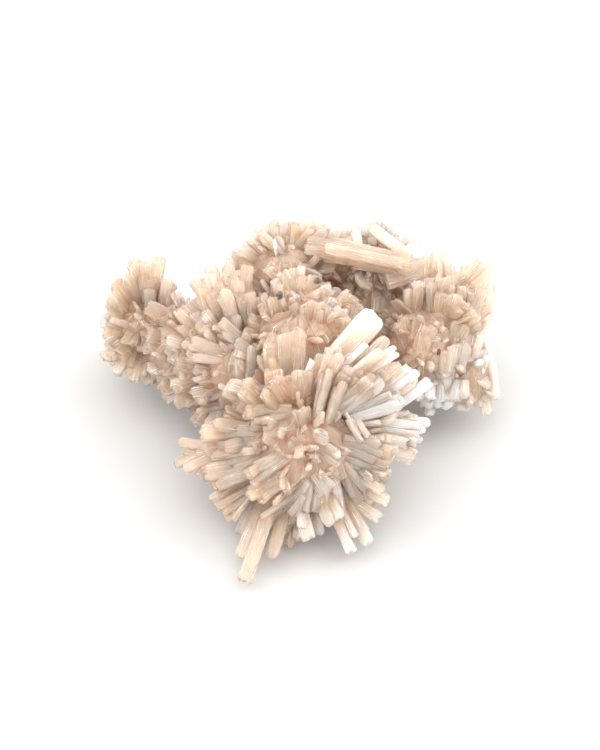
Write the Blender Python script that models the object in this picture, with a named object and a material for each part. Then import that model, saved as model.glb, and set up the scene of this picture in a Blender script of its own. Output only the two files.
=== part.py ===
"""A selenite cluster: bladed crystals that radiate from a few hearts and have grown together into one solid.

Metres, +Z up. The origin is under the middle of the cluster's box, on the table that it rests on.
The crystals are laid out as they show to someone who looks down on the cluster from the front, 45 degrees
below the horizon: right and up are distances in that view, clock is an angle in it, counted from the right
towards the top, and lean is an angle out of it, towards the viewer.
"""

import math
from collections import namedtuple

import bmesh
import bpy
import numpy as np
from mathutils import Matrix, Vector

MM = 0.001
LOOK_DOWN = math.radians(45)
SINE, COSINE = math.sin(LOOK_DOWN), math.cos(LOOK_DOWN)
RIGHT = Vector((1, 0, 0))
UP = Vector((0, SINE, COSINE))
TOWARD = Vector((0, -COSINE, SINE))

# Where the layout's own origin lies under the cluster's box, in mm.
HOME = Vector((-0.14, 17.6, 0.0))

# A heart is the massive selenite that one spray of blades grows from: right, up and height place its middle,
# radii are its half sizes along X, Y and Z. The rest is for the plain blades of its spray: how far they reach
# from the middle, their width and thickness, how many the whole ball would have, and a seed.
Heart = namedtuple("Heart", "right up height radii reach width thickness blades seed")
HEARTS = {
    "front": Heart(0.8, -10.5, 17.5, (15.5, 15.5, 13.5), 26, 5.4, 2.4, 40, 1),
    "ridge": Heart(-15.0, 7.0, 19, (11, 12, 12), 20, 5.2, 2.4, 30, 2),
    "neck": Heart(-26.5, 13.0, 16, (12, 12, 9.5), 15, 5.4, 2.4, 18, 3),
    "cup": Heart(-39.8, 19.0, 15, (7.6, 8.1, 7.9), 10.5, 4.8, 2.0, 20, 4),
    "dome": Heart(-4.3, 31.2, 31, (9, 8, 9), 14, 5.6, 2.4, 23, 5),
    "crown": Heart(0.0, 15.4, 26, (14, 14, 12), 18, 7.5, 3.0, 32, 6),
    "hollow": Heart(17.0, 24.0, 16, (12, 10, 10), 13, 6.0, 2.6, 20, 7),
    "ledge": Heart(17.5, 33.5, 28, (12, 7, 9), 12, 6.4, 2.6, 17, 12),
    "right": Heart(31.2, 13.8, 18, (10, 11, 11), 18, 6.0, 2.4, 24, 8),
    "tail": Heart(43.0, 5.5, 12, (5, 7, 7), 7.6, 4.6, 2.2, 10, 9),
    "back": Heart(3.0, 18.0, 14, (18, 11, 11), 18, 7.0, 3.2, 34, 10),
    "root": Heart(2.0, -0.6, 6.5, (22, 20, 9), 0, 0, 0, 0, 11),
}

# Blades that stand out, by the heart that they grow from: clock, lean, and how far from the heart's middle
# they show to reach in the view, then width, thickness, and roll, which is 0 where the flat side faces the
# viewer. Angles in degrees, the rest in mm.
Blade = namedtuple("Blade", "clock lean reach width thickness roll")
BLADES = {
    "front": [
        Blade(182, -6, 31.5, 4.0, 2.0, 25),
        Blade(190, -5, 33.3, 3.2, 2.0, 50),
        Blade(195, 3, 30.5, 4.2, 2.0, 20),
        Blade(202, 0, 26.8, 4.2, 2.0, 30),
        Blade(208, 15, 25.2, 4.8, 2.2, 10),
        Blade(220, 10, 27.2, 4.4, 2.2, 25),
        Blade(228, 35, 19.6, 4.4, 2.2, 10),
        Blade(214, 40, 16.4, 4.2, 2.2, 15),
        Blade(235, 4, 28.2, 2.4, 1.6, 30),
        Blade(241, 14, 33.0, 3.2, 2.0, 30),
        Blade(247, 20, 37.4, 3.8, 2.0, 20),
        Blade(255, 18, 30.0, 3.2, 2.0, 30),
        Blade(267, 16, 24.6, 3.4, 2.0, 20),
        Blade(274, 22, 24.6, 3.6, 2.0, 10),
        Blade(281, 15, 23.6, 3.4, 2.0, 30),
        Blade(292, 26, 21.8, 5.0, 2.6, 15),
        Blade(296, 15, 30.4, 4.2, 2.4, 10),
        Blade(303, 12, 30.4, 3.4, 2.0, 30),
        Blade(321, 12, 27.2, 7.0, 3.6, 10),
        Blade(340, 10, 23.4, 4.2, 2.2, 30),
        Blade(356, 5, 28.8, 5.5, 3.0, 30),
        Blade(9, 0, 32.2, 2.8, 2.0, 20),
        Blade(28, 8, 35.0, 4.6, 2.6, 15),
        Blade(34, 12, 33.6, 4.6, 2.6, 15),
        Blade(40, 14, 31.2, 3.6, 2.0, 20),
        Blade(46, 10, 32.8, 3.4, 2.0, 20),
        Blade(51, 8, 33.4, 3.4, 2.0, 20),
        Blade(60, 5, 37.0, 6.0, 4.6, 20),
        Blade(74, 30, 24.0, 6.0, 2.6, 10),
        Blade(99, 12, 29.0, 10.0, 2.8, 5),
        Blade(101, 36, 19.0, 11.0, 3.2, 5),
        Blade(155, 38, 15.7, 5.2, 2.4, 10),
        Blade(293, 90, 2.4, 5.5, 3.4, 0),
        Blade(150, 70, 7.5, 4.8, 2.6, 60),
        Blade(262, 34, 20.0, 6.0, 2.6, 10),
        Blade(284, 32, 18.5, 4.6, 2.4, 20),
        Blade(306, 32, 18.5, 4.4, 2.4, 25),
        Blade(326, 40, 16.5, 4.8, 2.4, 10),
        Blade(346, 42, 15.0, 4.6, 2.4, 30),
        Blade(5, 38, 17.5, 5.0, 2.4, 20),
        Blade(25, 36, 18.5, 5.4, 2.4, 20),
        Blade(50, 30, 23.0, 8.0, 3.0, 10),
        Blade(68, 52, 14.5, 5.4, 2.4, 70),
        Blade(120, 42, 17.5, 6.4, 2.6, 20),
        Blade(136, 28, 21.5, 5.0, 2.4, 20),
        Blade(174, 36, 17.0, 4.8, 2.4, 30),
        Blade(192, 32, 20.5, 4.8, 2.4, 20),
        Blade(243, 38, 18.5, 4.8, 2.4, 20),
        Blade(305, 60, 11.5, 5.0, 2.4, 10),
        Blade(240, 58, 12.0, 5.2, 2.4, 10),
        Blade(192, 58, 11.5, 5.0, 2.4, 30),
        Blade(15, 58, 12.0, 5.2, 2.4, 30),
        Blade(100, 62, 10.5, 5.0, 2.4, 50),
    ],
    "ridge": [
        Blade(138, 8, 23.0, 4.2, 2.0, 15),
        Blade(160, 28, 14.8, 6.0, 2.4, 10),
        Blade(157, 12, 20.8, 3.0, 1.8, 20),
        Blade(148, 8, 18.9, 4.0, 2.0, 30),
        Blade(198, -6, 21.0, 4.4, 2.0, 30),
        Blade(211, -4, 17.5, 4.2, 2.0, 30),
        Blade(111, 0, 28.0, 6.0, 2.4, 20),
        Blade(101, 0, 28.0, 6.0, 2.4, 20),
        Blade(92, 2, 27.5, 5.4, 2.4, 20),
        Blade(84, 14, 21.0, 4.0, 2.0, 30),
        Blade(178, 22, 17.0, 5.0, 2.2, 25),
        Blade(125, 28, 17.5, 5.2, 2.2, 25),
    ],
    "cup": [
        Blade(62, 34, 12.4, 5.0, 2.0, 20),
        Blade(85, 32, 18.2, 5.0, 2.0, 20),
        Blade(109, 32, 17.2, 5.4, 2.0, 20),
        Blade(133, 34, 13.5, 5.4, 2.0, 20),
        Blade(156, 32, 11.5, 5.2, 2.0, 20),
        Blade(180, 32, 10.8, 5.2, 2.0, 20),
        Blade(206, 34, 11.5, 5.2, 2.0, 20),
        Blade(228, 36, 13.0, 4.6, 2.0, 20),
        Blade(246, 36, 15.0, 4.4, 2.0, 20),
        Blade(263, 36, 15.0, 4.2, 2.0, 20),
        Blade(279, 34, 15.6, 4.2, 2.0, 20),
        Blade(293, 34, 15.8, 4.2, 2.0, 20),
        Blade(320, 40, 11.5, 4.2, 2.0, 20),
        Blade(232, 62, 6.5, 4.0, 2.0, 20),
        Blade(275, 62, 6.5, 4.0, 2.0, 20),
    ],
    "crown": [
        Blade(118, 12, 15.0, 6.0, 3.2, 10),
        Blade(92, 12, 14.5, 7.0, 3.4, 10),
        Blade(12, 40, 13.5, 5.0, 3.0, 10),
        Blade(140, 30, 12.0, 7.0, 3.0, 20),
        Blade(170, 36, 14.0, 7.0, 3.0, 20),
        Blade(60, 30, 11.5, 8.5, 4.4, 10),
    ],
    "dome": [
        Blade(135, 10, 14.0, 5.4, 2.2, 20),
        Blade(112, 10, 14.6, 5.4, 2.2, 20),
        Blade(92, 10, 15.2, 5.4, 2.2, 20),
        Blade(72, 10, 15.6, 5.4, 2.2, 20),
        Blade(52, 10, 16.4, 5.4, 2.2, 20),
    ],
    "right": [
        Blade(83, 4, 24.7, 5.0, 2.2, 20),
        Blade(73, 8, 22.0, 4.6, 2.2, 30),
        Blade(63, 0, 23.3, 4.6, 2.0, 20),
        Blade(53, 0, 27.6, 4.0, 1.8, 20),
        Blade(46, 0, 28.1, 3.6, 1.8, 30),
        Blade(32, 0, 20.0, 4.4, 2.0, 30),
        Blade(64, 30, 15.5, 6.4, 2.4, 10),
        Blade(98, 26, 17.0, 5.0, 2.2, 20),
        Blade(36, 26, 16.5, 6.0, 2.4, 10),
        Blade(142, 34, 9.5, 5.0, 2.4, 30),
        Blade(268, 26, 15.0, 6.0, 4.0, 10),
        Blade(290, 10, 17.0, 6.0, 4.0, 10),
        Blade(345, 20, 14.0, 5.4, 2.6, 20),
    ],
}

# Blades that lie across the sprays: where the root and the tip show in the view, each with its height, then
# width, thickness and roll.
Loner = namedtuple("Loner", "root tip width thickness roll")
LONERS = {
    "bar": Loner((27.5, 34.2, 36.5), (1.6, 39.0, 39.5), 6.0, 4.4, 20),
    "white_bar": Loner((28.0, 36.0, 37.0), (18.0, 44.0, 40.0), 3.0, 2.4, 20),
    "back_tip": Loner((20.0, 38.0, 34.0), (21.8, 45.8, 39.5), 4.4, 2.2, 10),
    "pale_tip": Loner((14.0, 36.0, 36.0), (13.0, 42.8, 39.0), 5.0, 2.4, 10),
    "slanted": Loner((0.5, 24.0, 36.0), (8.5, 28.4, 38.0), 3.6, 2.4, 20),
    "in_hollow": Loner((20.0, 22.0, 24.0), (21.5, 32.5, 29.0), 5.4, 2.6, 10),
    "end_upper": Loner((45.8, 17.5, 21.0), (49.2, -4.0, 5.0), 4.0, 3.0, 60),
    "end_lower": Loner((42.0, 16.0, 20.0), (45.0, -3.0, 4.0), 3.6, 2.6, 30),
    "upright": Loner((33.5, 14.0, 22.0), (34.8, 32.8, 33.0), 5.2, 2.6, 10),
}

# A blade's root and the end of its tip as shares of its width, and where its shoulder is along it.
ROOT_SHARE = 0.65
TIP_SHARES = (0.55, 0.4, 0.65, 0.5)
SHOULDERS_AT = (0.84, 0.78, 0.88)
PRISM_SIDES, SLAB_SIDES = 6, 4

# Where a blade starts, as a share of its heart's smallest half size, and how near the table a tip may come.
START_SHARE = 0.35
LOWEST_TIP = 1.0
# Blades of a spray's lattice keep this far from those that stand out, and few point at the table.
KEEP_CLEAR = math.radians(11)
STEEPEST = -0.55
# Corners closer than this, in metres, are one corner.
NEAR = 0.000005
# The cup is open towards the viewer.
CUP_OPENING = math.radians(48)

PEACH = (0.80, 0.60, 0.47, 1)


def seen_at(right, up, height):
    """The point at that height that shows there in the view from the front, in mm."""
    return Vector((right, (up - height * COSINE) / SINE, height)) + HOME


def in_view(clock):
    """The unit vector along that clock angle, square to the line of sight."""
    turn = math.radians(clock)
    return math.cos(turn) * RIGHT + math.sin(turn) * UP


def middle(name):
    """The middle of that heart, in mm."""
    heart = HEARTS[name]
    return seen_at(heart.right, heart.up, heart.height)


def lattice(count, shake):
    """Evenly spread directions over a sphere, each shaken a little."""
    golden = math.pi * (3 - math.sqrt(5))
    found = []
    for step in range(count):
        z = 1 - 2 * (step + 0.5) / count
        across = math.sqrt(1 - z * z)
        point = Vector((across * math.cos(golden * step), across * math.sin(golden * step), z))
        found.append((point + Vector(shake.normal(0, 0.09, 3))).normalized())
    return found


def blade_mesh(name, length, width, thickness, sides, kind):
    """One crystal standing on its root: a flattened prism that widens to a shoulder, then a blunt end."""
    mesh = bpy.data.meshes.new(name)
    bm = bmesh.new()
    shaft = length * SHOULDERS_AT[kind % len(SHOULDERS_AT)]
    slab = sides == SLAB_SIDES
    placed = Matrix.Translation((0, 0, shaft / 2)) @ Matrix.Rotation(math.pi / 4 if slab else 0, 4, "Z")
    corner = math.sqrt(2) if slab else 1
    bmesh.ops.create_cone(
        bm, cap_ends=True, segments=sides, radius1=ROOT_SHARE * corner, radius2=corner, depth=shaft, matrix=placed
    )
    top = max(bm.faces, key=lambda face: face.calc_center_median().z)
    grown = bmesh.ops.extrude_face_region(bm, geom=[top])["geom"]
    bmesh.ops.delete(bm, geom=[top], context="FACES_ONLY")
    tip = [item for item in grown if isinstance(item, bmesh.types.BMVert)]
    share = TIP_SHARES[kind % len(TIP_SHARES)]
    bmesh.ops.scale(bm, vec=(share, share, 1), verts=tip)
    bmesh.ops.translate(bm, vec=(0, 0, length - shaft), verts=tip)
    bmesh.ops.scale(bm, vec=(width / 2, thickness / 2, 1), verts=bm.verts)
    bmesh.ops.recalc_face_normals(bm, faces=bm.faces)
    bm.to_mesh(mesh)
    bm.free()
    return mesh


def grow(name, root, tip, width, thickness, roll, sides, helpers):
    """Adds the blade that runs from root to tip, both in mm."""
    along = (tip - root).normalized()
    flat = TOWARD - along * TOWARD.dot(along)
    if flat.length < 0.2:
        flat = UP - along * UP.dot(along)
    flat = Matrix.Rotation(math.radians(roll), 3, along) @ flat.normalized()
    across = flat.cross(along)
    turned = Matrix((across, flat, along)).transposed().to_4x4()
    length = (tip - root).length * MM
    kind = len(helpers.objects)
    blade = bpy.data.objects.new(name, blade_mesh(name, length, width * MM, thickness * MM, sides, kind))
    blade.matrix_world = Matrix.Translation(root * MM) @ turned
    helpers.objects.link(blade)


def inside_another(point, own):
    """True if the point lies in the heart of another spray."""
    for name, heart in HEARTS.items():
        gap = point - middle(name)
        if name != own and sum((gap[i] / heart.radii[i]) ** 2 for i in range(3)) < 1.2:
            return True
    return False


def standing_out(name, heart, helpers):
    """The blades of that spray that stand out; returns the ways that they run."""
    ways = []
    for number, blade in enumerate(BLADES.get(name, [])):
        if blade.lean > 80:
            rise = heart.reach
        else:
            rise = blade.reach * math.tan(math.radians(blade.lean))
        tip = middle(name) + blade.reach * in_view(blade.clock) + rise * TOWARD
        along = (tip - middle(name)).normalized()
        root = middle(name) + along * START_SHARE * min(heart.radii)
        sides = PRISM_SIDES if name == "front" and blade.lean < 25 else SLAB_SIDES
        grow(f"{name}_blade_{number}", root, tip, blade.width, blade.thickness, blade.roll, sides, helpers)
        ways.append(along)
    return ways


def filling_in(name, heart, taken, helpers):
    """The plain blades of that spray: those of its lattice that keep clear of the ways taken."""
    shake = np.random.default_rng(heart.seed)
    for number, along in enumerate(lattice(heart.blades, shake)):
        reach = heart.reach * shake.uniform(0.86, 1.06)
        width = heart.width * shake.uniform(0.8, 1.25)
        thickness = heart.thickness * shake.uniform(0.85, 1.2)
        roll = shake.uniform(0, 180)
        tip = middle(name) + along * reach
        root = middle(name) + along * START_SHARE * min(heart.radii)
        if tip.z < LOWEST_TIP or along.z < STEEPEST or inside_another(tip, name):
            continue
        if any(along.angle(other) < KEEP_CLEAR for other in taken):
            continue
        if name == "cup" and along.angle(TOWARD) < CUP_OPENING:
            continue
        grow(f"{name}_spray_{number}", root, tip, width, thickness, roll, SLAB_SIDES, helpers)


def lying_across(helpers):
    """The blades that lie across the sprays."""
    for name, loner in LONERS.items():
        root, tip = seen_at(*loner.root), seen_at(*loner.tip)
        grow(f"{name}_blade", root, tip, loner.width, loner.thickness, loner.roll, SLAB_SIDES, helpers)


def massive_middle(name, heart, helpers):
    """The heart of one spray, as a lump with flat faces."""
    mesh = bpy.data.meshes.new(f"{name}_heart")
    bm = bmesh.new()
    sized = Matrix.Diagonal((*[radius * MM for radius in heart.radii], 1))
    bmesh.ops.create_icosphere(bm, subdivisions=2, radius=1, matrix=sized)
    bm.to_mesh(mesh)
    bm.free()
    lump = bpy.data.objects.new(mesh.name, mesh)
    lump.location = middle(name) * MM
    helpers.objects.link(lump)


def under_table(helpers):
    """A block below the table, for the flat broken spot that the cluster rests on."""
    mesh = bpy.data.meshes.new("under_table")
    bm = bmesh.new()
    bmesh.ops.create_cube(bm, size=1, matrix=Matrix.Diagonal((0.15, 0.15, 0.02, 1)))
    bm.to_mesh(mesh)
    bm.free()
    block = bpy.data.objects.new("under_table", mesh)
    block.location = (0, 0, -0.01)
    helpers.objects.link(block)
    return block


def drop_closed_hollows(mesh):
    """Keeps the outer skin only: gaps that the crystals have closed on all sides are selenite too."""
    bm = bmesh.new()
    bm.from_mesh(mesh)
    bmesh.ops.remove_doubles(bm, verts=bm.verts, dist=NEAR)
    bmesh.ops.triangulate(bm, faces=bm.faces)
    left = set(bm.faces)
    shells = []
    while left:
        shell, edge_of_shell = set(), [left.pop()]
        while edge_of_shell:
            face = edge_of_shell.pop()
            shell.add(face)
            beside = {other for edge in face.edges for other in edge.link_faces} & left
            left -= beside
            edge_of_shell += beside
        shells.append(shell)
    outer = max(shells, key=len)
    hidden = [face for face in bm.faces if face not in outer]
    bmesh.ops.delete(bm, geom=hidden, context="FACES")
    bm.to_mesh(mesh)
    bm.free()


def selenite():
    """The cluster's own material."""
    material = bpy.data.materials.new("peach_selenite")
    material.use_nodes = True
    shader = material.node_tree.nodes["Principled BSDF"]
    shader.inputs["Base Color"].default_value = PEACH
    shader.inputs["Roughness"].default_value = 0.35
    shader.inputs["IOR"].default_value = 1.52
    return material


def cluster(helpers, parts):
    """All the crystals and hearts grown together, cut off flat where they rest."""
    first = helpers.objects["crown_heart"]
    whole = bpy.data.objects.new("selenite_cluster", first.data.copy())
    whole.matrix_world = first.matrix_world.copy()
    parts.objects.link(whole)
    joined = whole.modifiers.new("grown_together", "BOOLEAN")
    joined.operation, joined.solver, joined.operand_type = "UNION", "EXACT", "COLLECTION"
    joined.collection = helpers
    return whole


def main():
    for old in list(bpy.data.objects):
        bpy.data.objects.remove(old)
    helpers = bpy.data.collections.new("blades_and_hearts")
    cutters = bpy.data.collections.new("cutters")
    parts = bpy.data.collections.new("selenite")
    for made in (helpers, cutters, parts):
        bpy.context.scene.collection.children.link(made)
    for name, heart in HEARTS.items():
        massive_middle(name, heart, helpers)
        filling_in(name, heart, standing_out(name, heart, helpers), helpers)
    lying_across(helpers)
    whole = cluster(helpers, parts)
    flat = whole.modifiers.new("broken_flat", "BOOLEAN")
    flat.operation, flat.solver, flat.object = "DIFFERENCE", "EXACT", under_table(cutters)
    for helper in (*helpers.objects, *cutters.objects):
        helper.hide_render = True
        helper.display_type = "WIRE"
    seen = bpy.context.evaluated_depsgraph_get()
    whole_mesh = bpy.data.meshes.new_from_object(whole.evaluated_get(seen))
    whole.modifiers.clear()
    drop_closed_hollows(whole_mesh)
    whole_mesh.transform(whole.matrix_world)
    whole.matrix_world = Matrix.Identity(4)
    whole.data = whole_mesh
    whole.data.materials.clear()
    whole.data.materials.append(selenite())


main()
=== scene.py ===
import math

import bmesh
import bpy
import numpy as np
from mathutils import Matrix, Vector
from mathutils.bvhtree import BVHTree


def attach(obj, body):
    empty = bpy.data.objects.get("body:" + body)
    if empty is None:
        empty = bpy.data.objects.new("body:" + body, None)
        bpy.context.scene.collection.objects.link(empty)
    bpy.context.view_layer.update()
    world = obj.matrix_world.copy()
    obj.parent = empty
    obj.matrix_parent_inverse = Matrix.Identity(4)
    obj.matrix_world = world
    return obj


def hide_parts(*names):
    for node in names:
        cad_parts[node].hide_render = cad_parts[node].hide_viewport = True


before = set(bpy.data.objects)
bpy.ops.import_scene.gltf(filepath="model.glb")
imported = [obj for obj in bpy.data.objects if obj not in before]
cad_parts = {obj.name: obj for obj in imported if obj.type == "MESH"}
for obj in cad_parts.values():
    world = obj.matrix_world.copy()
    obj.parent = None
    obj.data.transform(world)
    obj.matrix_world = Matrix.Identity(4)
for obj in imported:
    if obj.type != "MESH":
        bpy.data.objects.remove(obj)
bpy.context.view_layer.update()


# The table and the air around it. The cluster lies on a plain white top in a bright room: soft light falls
# from all round, and a large window behind it on the right gives the soft shadow towards the front left.

# Sizes are in mm, and MM turns them into the metres of the frame. The view looks down from the front, with
# RIGHT, UP and TOWARD as its own directions, and HOME is the point of the table in the middle of it.
MM = 0.001
LOOK_DOWN = math.radians(45)
RIGHT = np.array([1.0, 0.0, 0.0])
UP = np.array([0.0, math.sin(LOOK_DOWN), math.cos(LOOK_DOWN)])
TOWARD = np.array([0.0, -math.cos(LOOK_DOWN), math.sin(LOOK_DOWN)])
HOME = np.array([-0.14, 17.6, 0.0])
MID_HEIGHT = 22
# How far the camera is and how much it takes in from top to bottom, in metres, and its aim above the middle.
CAMERA_AWAY, VIEW_TALL, AIM_ABOVE = 0.9, 0.1875, 6.25

scene = bpy.context.scene


def seen_at(right, up, height):
    """The point at that height, in mm, that shows right and up of the middle: the line of sight meets it."""
    return np.array([right, (up - height * UP[2]) / UP[1], height]) + HOME


lens = bpy.data.cameras.new("camera")
lens.lens = lens.sensor_width * CAMERA_AWAY / VIEW_TALL
camera = bpy.data.objects.new("camera", lens)
aim = Vector((seen_at(0, 0, MID_HEIGHT) + AIM_ABOVE * UP) * MM)
camera.location = aim + CAMERA_AWAY * Vector(TOWARD)
camera.rotation_euler = Vector(-TOWARD).to_track_quat("-Z", "Y").to_euler()
scene.collection.objects.link(camera)
scene.camera = camera

scene.view_settings.view_transform = "Standard"
scene.cycles.use_denoising = True
scene.cycles.max_bounces = 32
scene.cycles.transmission_bounces = 32

room = bpy.data.worlds.new("room")
room.use_nodes = True
daylight = room.node_tree.nodes["Background"].inputs
daylight["Color"].default_value = (1.0, 0.98, 0.95, 1)
daylight["Strength"].default_value = 2.9
scene.world = room


def window(name, place, size, power, colour):
    """A square soft light that hangs at place and faces the cluster: metres and watts."""
    light = bpy.data.lights.new(name, "AREA")
    light.size, light.energy, light.color = size, power, colour
    lamp = bpy.data.objects.new(name, light)
    lamp.location = place
    lamp.rotation_euler = (Vector((0, 0, 0.02)) - Vector(place)).to_track_quat("-Z", "Y").to_euler()
    scene.collection.objects.link(lamp)


window("window", (0.75, 0.30, 0.70), 0.7, 4.6, (1.0, 0.985, 0.96))
window("second_window", (-0.6, 0.1, 0.8), 0.6, 2.0, (1.0, 0.97, 0.92))


class Value:
    """Wraps a socket, so that arithmetic on it adds Math nodes."""

    def __init__(self, tree, socket):
        self.tree, self.socket = tree, socket

    def maths(self, operation, *others):
        node = self.tree.nodes.new("ShaderNodeMath")
        node.operation = operation
        for slot, other in zip(node.inputs, (self, *others)):
            if isinstance(other, Value):
                self.tree.links.new(other.socket, slot)
            else:
                slot.default_value = other
        return Value(self.tree, node.outputs[0])

    def __add__(self, other):
        return self.maths("ADD", other)

    def __mul__(self, other):
        return self.maths("MULTIPLY", other)

    def __sub__(self, other):
        return self.maths("SUBTRACT", other)

    def __rsub__(self, other):
        return (self * -1.0) + other

    def __pow__(self, other):
        return self.maths("POWER", other)

    def at_least(self, other):
        return self.maths("MAXIMUM", other)

    def at_most(self, other):
        return self.maths("MINIMUM", other)

    __radd__ = __add__


class Finish:
    """A material being made: its node tree and its shader."""

    def __init__(self, name):
        self.material = bpy.data.materials.new(name)
        self.material.use_nodes = True
        self.tree = self.material.node_tree
        self.shader = self.tree.nodes["Principled BSDF"]

    def add(self, kind, settings, **sockets):
        """One node of that kind: settings first, then the values or links of its sockets."""
        node = self.tree.nodes.new(kind)
        for key, value in settings.items():
            setattr(node, key, value)
        for key, value in sockets.items():
            self.put(node.inputs[key.replace("_", " ")], value)
        return node

    def put(self, slot, value):
        """Links or sets one socket."""
        if isinstance(value, Value):
            value = value.socket
        if isinstance(value, bpy.types.NodeSocket):
            self.tree.links.new(value, slot)
        else:
            slot.default_value = value

    def value(self, socket):
        """The socket as a Value, ready for arithmetic."""
        return Value(self.tree, socket)

    def mix(self, share, first, second):
        """The colour that goes from first to second as share goes from 0 to 1."""
        node = self.tree.nodes.new("ShaderNodeMix")
        node.data_type, node.clamp_factor = "RGBA", True
        self.put(node.inputs[0], share)
        self.put(node.inputs[6], first)
        self.put(node.inputs[7], second)
        return node.outputs[2]


# Half the table's width, in metres.
TABLE_HALF = 3.0
WHITE_TOP = (0.378, 0.38, 0.383, 1)


def table():
    """The white table top, a plane far larger than the view."""
    mesh = bpy.data.meshes.new("table")
    x, y = np.meshgrid([-TABLE_HALF, TABLE_HALF], [-TABLE_HALF, TABLE_HALF])
    corners = np.stack([x.ravel(), y.ravel(), np.zeros(4)], axis=1)
    mesh.from_pydata(corners.tolist(), [], [(0, 1, 3, 2)])
    top = bpy.data.objects.new("table", mesh)
    scene.collection.objects.link(top)
    paint = Finish("white_top")
    paint.put(paint.shader.inputs["Base Color"], WHITE_TOP)
    paint.put(paint.shader.inputs["Roughness"], 0.9)
    paint.put(paint.shader.inputs["Specular IOR Level"], 0.1)
    mesh.materials.append(paint.material)


table()


# The crystals: selenite, a clear to milky gypsum stained peach by iron. Flattened blades, each a bundle of
# thin parallel crystals with a ragged or rounded end, radiate from massive middles and have grown into one
# another. They make three pieces: crystal_cluster, and in its gaps fine_crystals and crystals_between.

# All are laid out as they show from the front: right and up in the view, a clock angle from the right towards
# the top, and a lean out of the view towards the viewer. Sizes in mm, angles in degrees.

# The massive middles: right, up, height, half sizes along X, Y, Z, then the reach, width and thickness of
# the plain blades that leave each, how many a whole ball would have, and a seed.
MIDDLES = {
    "front": (0.8, -10.5, 17.5, 15.5, 15.5, 13.5, 26, 5.4, 2.4, 40, 1),
    "ridge": (-15.0, 7.0, 19, 12, 13, 13, 20, 5.2, 2.4, 30, 2),
    "neck": (-26.5, 13.0, 16, 12, 12, 9.5, 15, 5.4, 2.4, 18, 3),
    "cup": (-39.8, 19.0, 15, 7.6, 8.1, 7.9, 10.5, 4.8, 2.0, 20, 4),
    "dome": (-4.3, 31.2, 31, 9, 8, 9, 14, 5.6, 2.4, 23, 5),
    "crown": (0.0, 15.4, 26, 14, 14, 12, 18, 7.5, 3.0, 32, 6),
    "hollow": (17.0, 24.0, 17, 13, 11, 13, 13, 6.0, 2.6, 20, 7),
    "ledge": (17.5, 33.5, 28, 12, 7, 9, 12, 6.4, 2.6, 17, 12),
    "right": (31.2, 13.8, 18, 10, 11, 11, 18, 6.0, 2.4, 24, 8),
    "tail": (43.0, 5.5, 12, 5, 7, 7, 7.6, 4.6, 2.2, 10, 9),
    "back": (3.0, 18.0, 14, 18, 11, 11, 18, 7.0, 3.2, 34, 10),
    "root": (2.0, -0.6, 6.5, 22, 20, 9, 0, 0, 0, 0, 11),
}

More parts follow.
